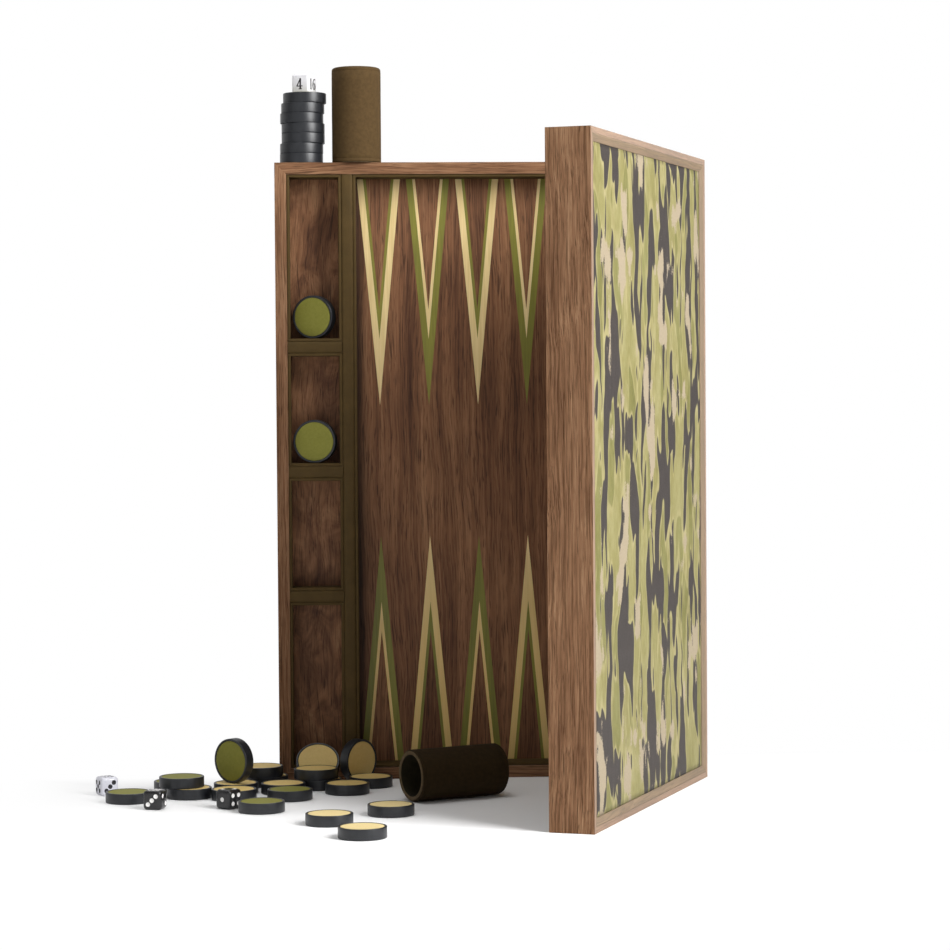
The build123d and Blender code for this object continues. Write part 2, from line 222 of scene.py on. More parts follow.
# ================================================================ materials
def walnut(name, lid=False, framed=False, tint=(1, 1, 1), offset=0.0, figure=1.0, coat=0.0, sheen=0.0, honey=0.0):
    """Open-pored walnut, grain upright, or along each board of a mitred frame."""
    g = Graph(name)
    p = half_coords(g, lid)
    x, y, z = g.split(p)
    if framed:
        side = g.math("MINIMUM", g.math("MULTIPLY", x, -1), g.math("ADD", x, WIDTH))
        end = g.math("MINIMUM", z, g.math("SUBTRACT", HEIGHT, z))
        level = g.math("LESS_THAN", end, side)
        across = g.node("Mix", {0: level, 2: x, 3: z}, data_type="FLOAT")
        along = g.node("Mix", {0: level, 2: z, 3: x}, data_type="FLOAT")
        far_side = g.math("GREATER_THAN", x, -WIDTH / 2)
        top_half = g.math("GREATER_THAN", z, HEIGHT / 2)
        upright = g.math("MULTIPLY", far_side, 1.9)
        lying = g.math("ADD", g.math("MULTIPLY", top_half, 2.3), 3.7)
        board = g.node("Mix", {0: level, 2: upright, 3: lying}, data_type="FLOAT")
        p = g.join(g.math("ADD", across, board), y, g.math("ADD", along, board))
    p = g.map(p, loc=(offset, offset * 0.7, offset * 1.3))
    wx, wy, wz = g.split(p)
    bend = g.noise(g.map(p, (10, 10, 2.6)), 1.0, 3, 0.5)
    swirl = g.noise(g.map(p, (26, 26, 9), loc=(4, 1, 2)), 1.0, 2, 0.5)
    tray = g.grey(x, -WIDTH + WALL + TRAY_WIDTH, -WIDTH + WALL + TRAY_WIDTH + DIVIDER, 1.0, 0.0)
    wavy = g.math("ADD", 1.0, g.math("MULTIPLY", tray, 0.0 if framed else 1.4))
    warp = g.math("ADD", g.math("MULTIPLY", g.math("SUBTRACT", bend, 0.5), 0.026 * figure),
                  g.math("MULTIPLY", g.math("MULTIPLY", g.math("SUBTRACT", swirl, 0.5), 0.010 * figure), wavy))
    rings = g.math("ADD", g.math("ADD", wx, g.math("MULTIPLY", wy, 0.8)), warp)
    bands = g.noise(g.join(g.math("MULTIPLY", rings, 120), g.math("MULTIPLY", wy, 20),
                           g.math("MULTIPLY", wz, 2.0)), 1.0, 3, 0.6)
    streak = g.noise(g.join(g.math("MULTIPLY", rings, 820), g.math("MULTIPLY", wy, 400),
                            g.math("MULTIPLY", wz, 14)), 1.0, 5, 0.72)
    pore = g.noise(g.join(g.math("MULTIPLY", rings, 1700), g.math("MULTIPLY", wy, 1700),
                          g.math("MULTIPLY", wz, 60)), 1.0, 2, 0.5)
    long_pore = g.noise(g.join(g.math("MULTIPLY", rings, 1000), g.math("MULTIPLY", wy, 1000),
                               g.math("MULTIPLY", wz, 20)), 1.0, 2, 0.5)
    cloud = g.noise(g.map(p, (34, 34, 8)), 1.0, 4, 0.6)
    band_share = 0.22 if framed else 0.34
    tone = g.math("ADD", g.math("MULTIPLY", bands, band_share),
                  g.math("ADD", g.math("MULTIPLY", streak, 0.74 - band_share), g.math("MULTIPLY", cloud, 0.26)))
    if not framed:
        flame = g.noise(g.map(p, (52, 52, 24), loc=(3, 7, 1)), 1.0, 6, 0.62, 1.3)
        flamed = g.math("ADD", g.math("MULTIPLY", flame, 0.62), g.math("MULTIPLY", tone, 0.38))
        tone = g.node("Mix", {0: tray, 2: tone, 3: flamed}, data_type="FLOAT")

    def shade(r, gr, b):
        return [c * t for c, t in zip(rgb(r, gr, b)[:3], tint)]

    colour = g.ramp(tone, [(0.33, shade(72, 47, 32)), (0.44, shade(108, 74, 52)),
                           (0.52, shade(136, 97, 70)), (0.64, shade(168, 127, 95))])
    pores = g.math("MAXIMUM", g.grey(pore, 0.565, 0.68), g.grey(long_pore, 0.565, 0.68))
    colour = g.mix(g.math("MULTIPLY", pores, 0.6 if framed else 0.72), colour, shade(48, 30, 21) + [1])
    if honey:
        colour = g.mix(honey, colour, rgb(128, 118, 103))
    if not framed:
        # painted shade: the playing surface darkens over 16 mm beside the long divider, where its shadow falls
        by_divider = -WIDTH + WALL + TRAY_WIDTH + DIVIDER
        divider_painted_shade = g.math("MULTIPLY", g.grey(x, by_divider, by_divider + 16 * MM, 0.85, 0.0),
                       g.math("SUBTRACT", 1.0, tray))
        colour = g.mix(divider_painted_shade, colour, shade(30, 20, 13) + [1])
    if framed:
        # painted sheen: framed boards are mixed towards a pale taupe where they are seen at a flat angle
        painted_sheen_mask = g.node("LayerWeight", {"Blend": 0.5}, out="Facing")
        colour = g.mix(g.grey(painted_sheen_mask, 0.45, 0.95, 0.0, sheen), colour, rgb(148, 134, 122))
    g.set("Base Color", colour)
    g.set("Roughness", g.grey(streak, 0.3, 0.7, 0.50, 0.64))
    g.set("Specular IOR Level", 0.0 if framed else 0.22)
    g.set("Coat Weight", coat)
    g.set("Coat Roughness", 0.22)
    height = g.math("SUBTRACT", g.math("MULTIPLY", streak, 0.35), pores)
    g.set("Normal", g.bump(height, 0.4, 0.00014))
    return g.mat


def inlay(name, light, deep, painted_bounce=None):
    """Dyed inlay with a faint grain along the point; a deeper, warmer tone towards the floor is painted warm
    bounce light.
    """
    g = Graph(name)
    p = g.coords()
    fine = g.noise(g.map(p, (700, 700, 25)), 1.0, 4, 0.6)
    cloud = g.noise(g.map(p, (40, 40, 12)), 1.0, 3, 0.5)
    tone = g.math("ADD", g.math("MULTIPLY", fine, 0.6), g.math("MULTIPLY", cloud, 0.4))
    colour = g.ramp(tone, [(0.32, deep), (0.62, light)])
    if painted_bounce:
        # painted warm bounce light: the colour turns more golden low on the board
        colour = g.mix(g.grey(g.split(p)[2], 0.06, 0.26, 0.6, 0.0), colour, painted_bounce)
    g.set("Base Color", colour)
    g.set("Roughness", 0.5)
    g.set("Normal", g.bump(fine, 0.25, 0.00008))
    return g.mat


def leather(name, light, deep, cell=1500.0, rough=0.62, bump=0.5, suede=0.0, scale=60.0, sheen=0.0):
    """Leather or suede: pebbled cells, cloudy tone, fine nap."""
    g = Graph(name)
    p = g.coords()
    cells = g.voronoi(p, cell, "SMOOTH_F1")
    nap = g.noise(p, cell * 1.7, 3, 0.7)
    cloud = g.noise(p, scale, 5, 0.6)
    tone = g.math("ADD", g.math("MULTIPLY", cloud, 0.6), g.math("MULTIPLY", nap, 0.4))
    g.set("Base Color", g.ramp(tone, [(0.34, deep), (0.64, light)]))
    g.set("Roughness", g.grey(nap, 0.3, 0.7, rough - 0.06, rough + 0.08))
    g.set("Specular IOR Level", 0.2)
    if sheen:
        g.set("Sheen Weight", sheen)
        g.set("Sheen Roughness", 0.5)
        g.set("Sheen Tint", light if len(light) == 4 else tuple(light) + (1,))
    height = g.math("ADD", g.math("MULTIPLY", cells, 1 - suede), g.math("MULTIPLY", nap, 0.3 + 0.7 * suede))
    g.set("Normal", g.bump(height, bump, 0.0002))
    return g.mat


def printed_cover(name, lid):
    """Generic painted camouflage in four tones on a fine-grained cover."""
    g = Graph(name)
    x, y, z = g.split(half_coords(g, lid))
    flat = g.join(x, 0.0, z)
    fine = g.noise(g.map(flat, (190, 1, 90)), 1.0, 4, 0.65)
    grit = g.noise(g.map(flat, (1300, 1, 500)), 1.0, 3, 0.7)

    def drips(sx, sz, seed, sway=0.020, detail=0.8):
        """Upright rounded blots; a slow sideways sway keeps them from lining up."""
        wob = g.noise(g.map(flat, (22, 1, 20), loc=(seed, 0, 1.7 * seed)), 1.0, 2, 0.5)
        fx = g.math("ADD", x, g.math("MULTIPLY", g.math("SUBTRACT", wob, 0.5), sway))
        at = g.join(g.math("MULTIPLY", fx, sx), seed, g.math("MULTIPLY", z, sz))
        return g.noise(at, 1.0, detail, 0.4)

    dark_a, dark_b = drips(50, 10, 5.0), drips(84, 15, 14.0)
    field = g.math("MAXIMUM", dark_a, g.math("SUBTRACT", dark_b, 0.055))
    dark = g.grey(field, 0.545, 0.556)
    halo = g.grey(field, 0.500, 0.540)
    leaf = drips(36, 8.5, 31.0)
    leaf_in = g.grey(leaf, 0.53, 0.545)
    leaf_edge = g.math("MULTIPLY", g.grey(leaf, 0.495, 0.525), g.math("SUBTRACT", 1.0, leaf_in))
    wash = g.noise(g.map(flat, (30, 1, 16), loc=(8, 0, 2)), 1.0, 5, 0.6)
    water = g.math("ADD", g.math("MULTIPLY", wash, 0.65), g.math("MULTIPLY", fine, 0.35))
    ground = g.ramp(water, [(0.36, rgb(107, 101, 56)), (0.46, rgb(118, 112, 66)),
                            (0.55, rgb(127, 121, 78)), (0.66, rgb(136, 130, 90))])
    deeper = g.mix(1.0, ground, rgb(222, 226, 205), "MULTIPLY")
    colour = g.mix(leaf_in, ground, deeper)
    pale = g.ramp(fine, [(0.35, rgb(145, 135, 92)), (0.65, rgb(154, 145, 108))])
    edge = g.math("MAXIMUM", g.math("MULTIPLY", halo, 0.6), g.math("MULTIPLY", leaf_edge, 0.35))
    colour = g.mix(edge, colour, pale)
    colour = g.mix(dark, colour, g.ramp(fine, [(0.35, rgb(45, 39, 36)), (0.65, rgb(51, 45, 42))]))
    tear = g.noise(g.join(g.math("MULTIPLY", x, 27), 9.0, g.math("MULTIPLY", z, 13)), 1.0, 3, 0.55)
    torn = g.math("ADD", tear, g.math("MULTIPLY", g.math("SUBTRACT", grit, 0.5), 0.12))
    sand = g.ramp(grit, [(0.3, rgb(134, 121, 99)), (0.7, rgb(150, 138, 116))])
    colour = g.mix(g.grey(torn, 0.578, 0.592), colour, sand)
    g.set("Base Color", colour)
    weave = g.noise(g.coords(), 2600, 2, 0.6)
    g.set("Roughness", g.grey(weave, 0.3, 0.7, 0.55, 0.68))
    g.set("Specular IOR Level", 0.25)
    g.set("Normal", g.bump(weave, 0.25, 0.00012))
    return g.mat


def lacquer(name, colour, rough, coat=0.0, speck=0.12):
    """Turned and polished dark or pale resin with faint scuffs."""
    g = Graph(name)
    p = g.coords()
    scuff = g.noise(g.map(p, (900, 900, 2600)), 1.0, 4, 0.6)
    cloud = g.noise(p, 120, 4, 0.6)
    lighter = tuple(min(1, c * (1 + speck) + 0.004) for c in colour[:3]) + (1,)
    g.set("Base Color", g.ramp(cloud, [(0.35, colour), (0.7, lighter)]))
    g.set("Roughness", g.grey(scuff, 0.3, 0.7, rough * 0.85, rough * 1.2))
    g.set("Coat Weight", coat)
    g.set("Normal", g.bump(scuff, 0.08, 0.00005))
    return g.mat


def brass(name):
    g = Graph(name)
    p = g.coords()
    brushed = g.noise(g.map(p, (2500, 2500, 60)), 1.0, 4, 0.6)
    cloud = g.noise(p, 180, 4, 0.6)
    g.set("Base Color", g.ramp(cloud, [(0.3, rgb(176, 138, 72)), (0.7, rgb(214, 176, 104))]))
    g.set("Metallic", 1.0)
    g.set("Roughness", g.grey(brushed, 0.3, 0.7, 0.22, 0.38))
    g.set("Normal", g.bump(brushed, 0.15, 0.00005))
    return g.mat


def plain(name, colour, rough=0.6):
    g = Graph(name)
    grain = g.noise(g.coords(), 900, 3, 0.6)
    darker = tuple(c * 0.9 for c in colour[:3]) + (1,)
    g.set("Base Color", g.ramp(grain, [(0.3, darker), (0.7, colour)]))
    g.set("Roughness", rough)
    return g.mat


WALL_TINT = (0.87, 0.94, 1.00)
EDGE_TINT = (0.90, 1.00, 1.06)
TRIM_TINT = (0.72, 0.78, 0.74)
FIELD_TINT = (0.86, 0.80, 0.72)
MAT = {
    "base_walls": walnut("walnut_base_walls", False, True, WALL_TINT, 0.3, sheen=0.6),
    "lid_walls": walnut("walnut_lid_walls", True, True, EDGE_TINT, 5.1, sheen=0.95),
    "base_trim": walnut("walnut_base_trim", False, True, TRIM_TINT, 2.2, coat=0.1, honey=0.6),
    "lid_trim": walnut("walnut_lid_trim", True, True, TRIM_TINT, 7.4, coat=0.1, honey=0.6),
    "base_field": walnut("walnut_base_field", tint=FIELD_TINT, offset=1.15),
    "lid_field": walnut("walnut_lid_field", lid=True, tint=FIELD_TINT, offset=3.9),
    # the third colour is painted warm bounce light low on the board
    "inlay_cream": inlay("inlay_cream", rgb(226, 202, 146), rgb(206, 180, 120), rgb(222, 184, 100)),
    "inlay_green": inlay("inlay_green", rgb(128, 124, 40), rgb(104, 102, 30)),
    "olive": leather("olive_leather", rgb(79, 61, 29), rgb(65, 50, 22), 1400, 0.7, 0.4),
    "cup": leather("cup_suede", rgb(82, 63, 36), rgb(66, 50, 27), 1900, 0.9, 0.5, 0.8, 320, 0.06),
    # darker copy of the cup suede for the lying cup: painted shade, where lid and tray shade it
    "cup_painted_shade": leather("cup_suede_painted_shade", rgb(50, 36, 14), rgb(38, 27, 9), 1900, 0.9, 0.5, 0.8, 320, 0.05),
    "cup_inside": leather("cup_lining", rgb(96, 80, 58), rgb(76, 62, 42), 1900, 0.9, 0.4, 0.9, 320, 0.1),
    "cup_bore": leather("cup_bore", rgb(42, 36, 20), rgb(30, 25, 13), 1900, 0.9, 0.4, 0.9, 320, 0.05),
    "disc_green": leather("leather_green", rgb(132, 130, 58), rgb(120, 118, 48), 1700, 0.6, 0.35, 0.2, 500),
    "disc_cream": leather("leather_cream", rgb(226, 206, 152), rgb(216, 194, 138), 1700, 0.6, 0.35, 0.2, 500),
    # warmer copy of the cream hide for checkers in the case's shade: painted warm bounce light
    "disc_cream_painted_bounce": leather("leather_cream_painted_bounce", rgb(226, 198, 130), rgb(216, 187, 118), 1700, 0.6, 0.35, 0.2, 500),
    "body": lacquer("checker_black", rgb(25, 27, 31), 0.37, 0.0),
    "white": lacquer("white_resin", rgb(214, 214, 223), 0.35, 0.2, 0.02),
    "ivory": lacquer("cube_resin", rgb(224, 223, 226), 0.4, 0.05, 0.02),
    "black": lacquer("black_resin", rgb(20, 19, 21), 0.3, 0.12),
    "pip_white": plain("pip_white", rgb(240, 238, 236), 0.5),
    "pip_black": plain("pip_black", rgb(24, 22, 30), 0.45),
    "ink": plain("numeral_ink", rgb(34, 28, 34), 0.6),
    "brass": brass("hinge_brass"),
    "base_cover": printed_cover("printed_cover_base", False),
    "lid_cover": printed_cover("printed_cover_lid", True),
}


# ================================================================ mesh helpers
def finish_mesh(name, bm, mats, smooth=True):
    """Object from a bmesh, with its materials."""
    mesh = bpy.data.meshes.new(name)
    bmesh.ops.recalc_face_normals(bm, faces=bm.faces)
    bm.to_mesh(mesh)
    bm.free()
    for mat in mats:
        mesh.materials.append(mat)
    for poly in mesh.polygons:
        poly.use_smooth = smooth
    obj = bpy.data.objects.new(name, mesh)
    bpy.context.scene.collection.objects.link(obj)
    return obj


def lathe(name, profile, mats, segments=72):
    """Solid of revolution about Z from (radius, z) points; ends at radius 0 are closed."""
    bm = bmesh.new()
    rings = []
    for r, z in profile:
        if r < 1e-7:
            rings.append([bm.verts.new((0, 0, z))])
        else:
            ring = [bm.verts.new((r * math.cos(a), r * math.sin(a), z))
                    for a in (2 * math.pi * i / segments for i in range(segments))]
            rings.append(ring)
    for low, high in zip(rings, rings[1:]):
        for i in range(segments):
            j = (i + 1) % segments
            if len(low) == 1 and len(high) == 1:
                continue
            if len(low) == 1:
                bm.faces.new((low[0], high[i], high[j]))
            elif len(high) == 1:
                bm.faces.new((low[i], low[j], high[0]))
            else:
                bm.faces.new((low[i], low[j], high[j], high[i]))
    return finish_mesh(name, bm, mats)


def arc(cx, cz, r, start, stop, steps=4):
    """Points of a rounding in a lathe profile, angles in degrees."""
    return [(cx + r * math.cos(math.radians(a)), cz + r * math.sin(math.radians(a)))
            for a in (start + (stop - start) * i / steps for i in range(steps + 1))]


def bevel(obj, width, segments=3, angle=35, harden=True):
    mod = obj.modifiers.new("bevel", "BEVEL")
    mod.width = width
    mod.segments = segments
    mod.limit_method = "ANGLE"
    mod.angle_limit = math.radians(angle)
    mod.harden_normals = harden
    return mod


def soften_node(name, width, segments=2, angle=35):
    """Breaks the sharp edges of a CAD node with modifiers only."""
    obj = NODES[name]
    weld = obj.modifiers.new("weld", "WELD")
    weld.merge_threshold = 1e-5
    bevel(obj, width, segments, angle, harden=False)


def paint(name, mat):
    """Gives a CAD node its material."""
    obj = NODES[name]
    obj.data.materials.clear()
    obj.data.materials.append(mat)


# ================================================================ the case
def padded_strip(bm, quad, y_top, y_back, crown, edge):
    """Padded leather strip over a four-cornered (x, z) outline: corners 0-1 and 3-2 are its long edges."""
    a, b, c, d = (Vector((x, 0, z)) for x, z in quad)
    length = max((b - a).length, (c - d).length)
    width = ((d - a).length + (c - b).length) / 2
    steps = max(4, round(length / (9 * MM)))
    lanes = [0, 0.25 * edge, edge, 0.3 * width, 0.5 * width, 0.7 * width, width - edge, width - 0.25 * edge, width]
    rows = []
    for i in range(steps + 1):
        t = i / steps
        row = []
        for lane in lanes:
            s = lane / width
            p = (a.lerp(b, t)).lerp(d.lerp(c, t), s)
            near = min(lane, width - lane)
            drop = edge * (1 - math.sqrt(max(0.0, 1 - (1 - min(near / edge, 1)) ** 2)))
            swell = crown * math.sin(math.pi * s) + 0.00005 * noise.noise(p * 90)
            row.append(bm.verts.new((p.x, y_top + drop - swell, p.z)))
        rows.append(row)
    last = len(lanes) - 1
    for i in range(steps):
        for k in range(last):
            bm.faces.new((rows[i][k], rows[i + 1][k], rows[i + 1][k + 1], rows[i][k + 1]))
    left = [bm.verts.new((r[0].co.x, y_back, r[0].co.z)) for r in rows]
    right = [bm.verts.new((r[last].co.x, y_back, r[last].co.z)) for r in rows]
    for i in range(steps):
        bm.faces.new((rows[i][0], left[i], left[i + 1], rows[i + 1][0]))
        bm.faces.new((rows[i][last], rows[i + 1][last], right[i + 1], right[i]))
        bm.faces.new((left[i], right[i], right[i + 1], left[i + 1]))
    bm.faces.new(rows[0] + [right[0], left[0]])
    bm.faces.new(list(reversed(rows[-1])) + [left[-1], right[-1]])


def soft_piece(name, bm, body, place, replaced):
    obj = finish_mesh(name, bm, [MAT["olive"]])
    obj.data.transform(place)
    obj.data.set_sharp_from_angle(angle=math.radians(50))
    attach(obj, body)
    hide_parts(replaced)


def make_liners(side, body, place):
    """Four mitred leather strips inside each pocket, a hair apart at the mitres."""
    edges = [WALL]
    for z in CROSS:
        edges.extend((z - DIVIDER / 2, z + DIVIDER / 2))
    edges.append(HEIGHT - WALL)
    pockets = [("tray_%d" % (i // 2 + 1), TRAY_X0, TRAY_X1, edges[i], edges[i + 1]) for i in range(0, 8, 2)]
    pockets.append(("field", FIELD_X0, FIELD_X1, WALL, HEIGHT - WALL))
    for label, x0, x1, z0, z1 in pockets:
        t, gap = LINER, 0.08 * MM
        bm = bmesh.new()
        outer = ((x0, z0), (x1, z0), (x1, z1), (x0, z1))
        inner = ((x0 + t, z0 + t), (x1 - t, z0 + t), (x1 - t, z1 - t), (x0 + t, z1 - t))
        for i in range(4):
            j = (i + 1) % 4
            run = Vector((outer[j][0] - outer[i][0], outer[j][1] - outer[i][1])).normalized() * gap
            quad = ((outer[i][0] + run[0], outer[i][1] + run[1]), (outer[j][0] - run[0], outer[j][1] - run[1]),
                    (inner[j][0] - run[0], inner[j][1] - run[1]), (inner[i][0] + run[0], inner[i][1] + run[1]))
            padded_strip(bm, quad, RIM_Y + 1.35 * MM, FIELD_Y, 0.1 * MM, 0.7 * MM)
        soft_piece("%s_liner_%s" % (side, label), bm, body, place, side + "_liners")


def make_dividers(side, body, place):
    top, gap = RIM_Y + 0.85 * MM, 0.12 * MM
    bars = [("long", ((TRAY_X1, WALL), (TRAY_X1, HEIGHT - WALL), (FIELD_X0, HEIGHT - WALL), (FIELD_X0, WALL)))]
    for i, z in enumerate(CROSS):
        low_z, high_z = z - DIVIDER / 2, z + DIVIDER / 2
        bars.append(("cross_%d" % (i + 1), ((TRAY_X0 + gap, low_z), (TRAY_X1 - gap, low_z),
                                            (TRAY_X1 - gap, high_z), (TRAY_X0 + gap, high_z))))
    for label, quad in bars:
        bm = bmesh.new()
        padded_strip(bm, quad, top, FIELD_Y, 0.25 * MM, 1.1 * MM)
        soft_piece("%s_divider_%s" % (side, label), bm, body, place, side + "_dividers")


def make_cover(side, body, place):
    """Covered panel: a sheet with rolled edges and a barely uneven face."""
    inset = 10.65 * MM
    x0, x1 = -WIDTH / 2 + inset, WIDTH / 2 - HINGE_GAP - inset
    z0, z1 = inset, HEIGHT - inset
    y_out = DEPTH / 2 - 2.0 * MM
    y_in = y_out - 3.9 * MM
    nx, nz = 60, 96
    bm = bmesh.new()
    grid = []
    for i in range(nx + 1):
        row = []
        for k in range(nz + 1):
            x = x0 + (x1 - x0) * i / nx
            z = z0 + (z1 - z0) * k / nz
            swell = 0.00009 * noise.noise(Vector((x * 14, 3.0, z * 14)))
            row.append(bm.verts.new((x, y_out - 0.0001 + swell, z)))
        grid.append(row)
    for i in range(nx):
        for k in range(nz):
            bm.faces.new((grid[i][k], grid[i + 1][k], grid[i + 1][k + 1], grid[i][k + 1]))
    rim = [v for v in bm.verts if v.is_boundary]
    for v in rim:
        v.co.y -= 0.0004
    boundary = [e for e in bm.edges if e.is_boundary]
    made = bmesh.ops.extrude_edge_only(bm, edges=boundary)
    lower = [v for v in made["geom"] if isinstance(v, bmesh.types.BMVert)]
    for v in lower:
        v.co.y = y_in
    bmesh.ops.contextual_create(bm, geom=[e for e in bm.edges if e.is_boundary])
    obj = finish_mesh(side + "_cover_sheet", bm, [MAT[side + "_cover"]])
    obj.data.transform(place)
    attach(obj, body)
    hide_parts(side + "_cover_panel")


for side, body, place in HALVES:
    paint(side + "_walls", MAT[side + "_walls"])
    paint(side + "_cover_trim", MAT[side + "_trim"])
    paint(side + "_field_panel", MAT[side + "_field"])
    paint(side + "_inlays_cream", MAT["inlay_cream"])
    paint(side + "_inlays_green", MAT["inlay_green"])
    paint(side + "_hinge_leaves", MAT["brass"])
    paint(side + "_hinge_screws", MAT["brass"])
    soften_node(side + "_walls", 0.35 * MM)
    soften_node(side + "_cover_trim", 0.3 * MM)
    make_liners(side, body, place)
    make_dividers(side, body, place)
    make_cover(side, body, place)
paint("hinge_pins", MAT["brass"])


# ================================================================ checkers
STANDING = {
    "checker_green_06": (-42, 0), "checker_cream_14": (0, 43), "checker_cream_15": (46, 0),
    "checker_green_07": (-24, 0), "checker_green_08": (-12, 0),
}


# cream checkers in the shade of the case, all but the three lit ones at the front, get a warmer copy of the cream
# hide: painted warm bounce light
SHADED_CREAM = {"checker_cream_%02d" % i for i in (1, 2, 3, 4, 5, 6, 7, 8, 9, 10, 14, 15)}


def checker_place(name):
    """Matrix from a checker lying centred on the origin to its place."""
    low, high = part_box(name)
    centre = Matrix.Translation((Vector(low) + Vector(high)) / 2)
    if name not in STANDING:
        return centre
    turn, lean = STANDING[name]
    return (centre @ Matrix.Rotation(math.radians(turn), 4, "Z")
            @ Matrix.Rotation(math.radians(90 - lean), 4, "X"))


def checker_meshes():
    """Body and leather disc, built once."""
    h, r = CHECKER_T / 2, CHECKER_R
    rim, lip = 16.75 * MM, 0.22 * MM
    half = [(0, h - 0.8 * MM), (rim, h - 0.8 * MM), (rim, h - 0.12 * MM), (rim + 0.12 * MM, h)]
    edge = arc(r - 0.5 * MM, h - 0.5 * MM, 0.5 * MM, 90, 0, 5)
    upper = half + edge
    lower = [(x, -z) for x, z in reversed(upper)]
    body = lathe("checker_body_pattern", upper + [(r, 0)] + lower, [MAT["body"]], 80)
    d = 16.62 * MM
    top = h - 0.14 * MM
    disc_profile = [(0, h - 0.04 * MM), (d * 0.3, h - 0.05 * MM), (d * 0.6, h - 0.08 * MM),
                    (d * 0.85, h - 0.12 * MM), (d - 1.2 * MM, top - 0.01 * MM)]
    disc_profile += arc(d - lip - 0.1 * MM, top - lip - 0.06 * MM, lip + 0.05 * MM, 80, 0, 4)
    disc_profile += [(d, h - 0.79 * MM), (0, h - 0.79 * MM)]
    disc = lathe("checker_disc_pattern", disc_profile, [MAT["disc_green"]], 80)
    return body, disc


def copy_of(obj, name, matrix, mat=None):
    new = bpy.data.objects.new(name, obj.data.copy())
    new.data.transform(matrix)
    if mat is not None:
        new.data.materials.clear()
        new.data.materials.append(mat)
    bpy.context.scene.collection.objects.link(new)
    return new


body_pattern, disc_pattern = checker_meshes()
flip = Matrix.Rotation(math.pi, 4, "X")
for colour in ("green", "cream"):
    for index in range(1, 16):
        name = "checker_%s_%02d" % (colour, index)
        place = checker_place(name)
        spin = Matrix.Rotation(random.Random(index * 7 + len(colour)).uniform(0, 6.28), 4, "Z")
        shell = copy_of(body_pattern, name + "_body", place @ spin)
        # checkers in the case's shade take the warmer copy of the cream hide: painted bounce light
        hide = MAT["disc_cream_painted_bounce" if name in SHADED_CREAM else "disc_" + colour]
        face = copy_of(disc_pattern, name + "_face_a", place @ spin, hide)
        back = copy_of(disc_pattern, name + "_face_b", place @ spin @ flip, hide)
        for piece in (shell, face, back):
            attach(piece, name)
            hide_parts(name)
bpy.data.objects.remove(body_pattern)
bpy.data.objects.remove(disc_pattern)


# ================================================================ cups
def cup_profile():
    """Outer suede shell, mouth at z = 0, closed end up; a turned-over band at each end."""
    r, length = CUP_R - 0.12 * MM, CUP_LENGTH
    mid, lip = CUP_R - 2.1 * MM, 0.75 * MM
    seam, deep = 3.4 * MM, 0.3 * MM
    points = [(0, length - 2.4 * MM), (mid, length - 2.4 * MM), (mid, lip + 0.6 * MM)]
    points += [(mid + 0.2 * MM, lip + 0.05 * MM)]
    points += arc(r - 0.6 * MM, lip + 0.6 * MM, 0.6 * MM, 270, 360, 5)
    points += [(r, seam - 0.3 * MM), (r - deep, seam), (r, seam + 0.3 * MM)]
    points += [(r, length * k / 14) for k in range(1, 13)]
    cap = length - 3.4 * MM
    points += [(r, cap - 0.3 * MM), (r - deep, cap), (r - 0.05 * MM, cap + 0.25 * MM)]
    points += arc(r - 2.6 * MM, length - 2.6 * MM, 2.55 * MM, 0, 90, 7)
    points += [(r * 0.6, length - 0.02 * MM), (0, length)]
    return points


def lining_profile():
    """Inner lining, turned out at the mouth into a rolled lip in front of the shell."""
    outer, inner = CUP_R - 2.15 * MM, CUP_BORE
    deep = CUP_LENGTH - 5.0 * MM
    lip = CUP_R - 1.15 * MM
    points = [(0, CUP_LENGTH - 2.5 * MM), (outer, CUP_LENGTH - 2.5 * MM), (outer, 0.72 * MM), (lip - 0.3 * MM, 0.72 * MM)]
    points += arc(lip - 0.36 * MM, 0.36 * MM, 0.36 * MM, 80, -90, 6)
    points += arc(inner + 0.8 * MM, 0.8 * MM, 0.8 * MM, 270, 180, 5)
    points += [(inner, deep * k / 8) for k in range(1, 8)]
    points += arc(inner - 1.5 * MM, deep - 1.5 * MM, 1.5 * MM, 0, 90, 4)
    points += [(0, deep)]
    return points


def make_cup(name, place, suede):
    shell = lathe(name + "_shell", cup_profile(), [MAT[suede]], 96)
    lining = lathe(name + "_lining", lining_profile(), [MAT["cup_inside"], MAT["cup_bore"]], 96)
    for poly in lining.data.polygons:
        middle = poly.center
        if middle.z > 0.5 * MM and math.hypot(middle.x, middle.y) < CUP_BORE + 0.5 * MM:
            poly.material_index = 1
    for v in shell.data.vertices:
        out = Vector((v.co.x, v.co.y, 0))
        if out.length > CUP_R - 0.3 * MM:
            v.co += out.normalized() * noise.noise(v.co * 60) * 0.06 * MM
    # butt seam down the back: a fine valley in the shell
    for v in shell.data.vertices:
        out = Vector((v.co.x, v.co.y, 0))
        if out.length > CUP_R - 0.6 * MM:
            off = abs(math.atan2(v.co.x, v.co.y)) * CUP_R
            v.co -= out.normalized() * 0.25 * MM * max(0.0, 1 - off / (1.2 * MM))
    for obj in (shell, lining):
        obj.data.transform(place)
        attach(obj, name)
        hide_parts(name)


low, high = (Vector(c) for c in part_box("cup_standing"))
make_cup("cup_standing", Matrix.Translation(((low.x + high.x) / 2, (low.y + high.y) / 2, low.z)), "cup")
low, high = (Vector(c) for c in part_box("cup_lying"))
CUP_TURN = math.radians(27.5)
middle = (low + high) / 2
laid = (Matrix.Translation(middle) @ Matrix.Rotation(CUP_TURN, 4, "Z") @ Matrix.Rotation(math.pi / 2, 4, "Y")
        @ Matrix.Translation((0, 0, -CUP_LENGTH / 2)))
# the lying cup takes the darker copy of the suede: painted shade
make_cup("cup_lying", laid, "cup_painted_shade")


